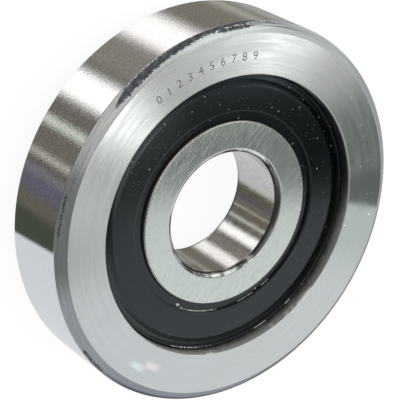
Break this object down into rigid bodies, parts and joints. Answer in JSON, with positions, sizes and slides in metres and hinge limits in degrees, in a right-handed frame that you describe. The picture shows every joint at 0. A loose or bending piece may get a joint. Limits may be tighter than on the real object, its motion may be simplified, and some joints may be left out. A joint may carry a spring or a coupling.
{
  "type": "forklift mast roller",
  "caption": "Sealed ball bearing roller with a thick steel outer ring as its wheel, recessed black rubber seals and a plain bore for the shaft.",
  "frame": {"origin": "middle of the outer ring's width, on the roller's axis", "axes": "+Z along the roller's axis, out of the face with the shallower recess, which the picture shows; X runs through the first ball's centre"},
  "size_m": [0.1254, 0.1254, 0.032],
  "materials": {
    "ground_steel": "turned and ground, bare",
    "bore_steel": "fine ground, bare",
    "seal_rubber": "matte moulded rubber",
    "cage_steel": "pressed sheet",
    "ball_steel": "polished"
  },
  "bodies": {
    "inner": {"inner_ring": "bore_steel"},
    "outer": {"outer_ring": "ground_steel", "seal_front": "seal_rubber", "seal_rear": "seal_rubber"},
    "cage": {"cage_front_half": "cage_steel", "cage_rear_half": "cage_steel", "cage_rivet_1": "cage_steel", "cage_rivet_2": "cage_steel", "cage_rivet_3": "cage_steel", "cage_rivet_4": "cage_steel", "cage_rivet_5": "cage_steel", "cage_rivet_6": "cage_steel", "cage_rivet_7": "cage_steel", "cage_rivet_8": "cage_steel", "cage_rivet_9": "cage_steel"},
    "ball_1": {"ball_1": "ball_steel"},
    "ball_2": {"ball_2": "ball_steel"},
    "ball_3": {"ball_3": "ball_steel"},
    "ball_4": {"ball_4": "ball_steel"},
    "ball_5": {"ball_5": "ball_steel"},
    "ball_6": {"ball_6": "ball_steel"},
    "ball_7": {"ball_7": "ball_steel"},
    "ball_8": {"ball_8": "ball_steel"},
    "ball_9": {"ball_9": "ball_steel"}
  },
  "joints": [
    {"name": "outer_spin", "type": "hinge", "parent": "inner", "child": "outer", "pos_m": [0, 0, 0.001], "axis": [0, 0, 1], "continuous": true},
    {"name": "cage_spin", "type": "hinge", "parent": "inner", "child": "cage", "pos_m": [0, 0, 0.001], "axis": [0, 0, 1], "continuous": true},
    {"name": "ball_1_spin", "type": "hinge", "parent": "cage", "child": "ball_1", "pos_m": [0.0378, 0, 0.001], "axis": [0, 0, 1], "continuous": true},
    {"name": "ball_2_spin", "type": "hinge", "parent": "cage", "child": "ball_2", "pos_m": [0.02896, 0.0243, 0.001], "axis": [0, 0, 1], "continuous": true},
    {"name": "ball_3_spin", "type": "hinge", "parent": "cage", "child": "ball_3", "pos_m": [0.00656, 0.03723, 0.001], "axis": [0, 0, 1], "continuous": true},
    {"name": "ball_4_spin", "type": "hinge", "parent": "cage", "child": "ball_4", "pos_m": [-0.0189, 0.03274, 0.001], "axis": [0, 0, 1], "continuous": true},
    {"name": "ball_5_spin", "type": "hinge", "parent": "cage", "child": "ball_5", "pos_m": [-0.03552, 0.01293, 0.001], "axis": [0, 0, 1], "continuous": true},
    {"name": "ball_6_spin", "type": "hinge", "parent": "cage", "child": "ball_6", "pos_m": [-0.03552, -0.01293, 0.001], "axis": [0, 0, 1], "continuous": true},
    {"name": "ball_7_spin", "type": "hinge", "parent": "cage", "child": "ball_7", "pos_m": [-0.0189, -0.03274, 0.001], "axis": [0, 0, 1], "continuous": true},
    {"name": "ball_8_spin", "type": "hinge", "parent": "cage", "child": "ball_8", "pos_m": [0.00656, -0.03723, 0.001], "axis": [0, 0, 1], "continuous": true},
    {"name": "ball_9_spin", "type": "hinge", "parent": "cage", "child": "ball_9", "pos_m": [0.02896, -0.0243, 0.001], "axis": [0, 0, 1], "continuous": true}
  ],
  "couplings": [
    {"joint": "cage_spin", "follows": "outer_spin", "ratio": 0.60499},
    {"joint": "ball_1_spin", "follows": "outer_spin", "ratio": 2.2761},
    {"joint": "ball_2_spin", "follows": "outer_spin", "ratio": 2.2761},
    {"joint": "ball_3_spin", "follows": "outer_spin", "ratio": 2.2761},
    {"joint": "ball_4_spin", "follows": "outer_spin", "ratio": 2.2761},
    {"joint": "ball_5_spin", "follows": "outer_spin", "ratio": 2.2761},
    {"joint": "ball_6_spin", "follows": "outer_spin", "ratio": 2.2761},
    {"joint": "ball_7_spin", "follows": "outer_spin", "ratio": 2.2761},
    {"joint": "ball_8_spin", "follows": "outer_spin", "ratio": 2.2761},
    {"joint": "ball_9_spin", "follows": "outer_spin", "ratio": 2.2761}
  ]
}
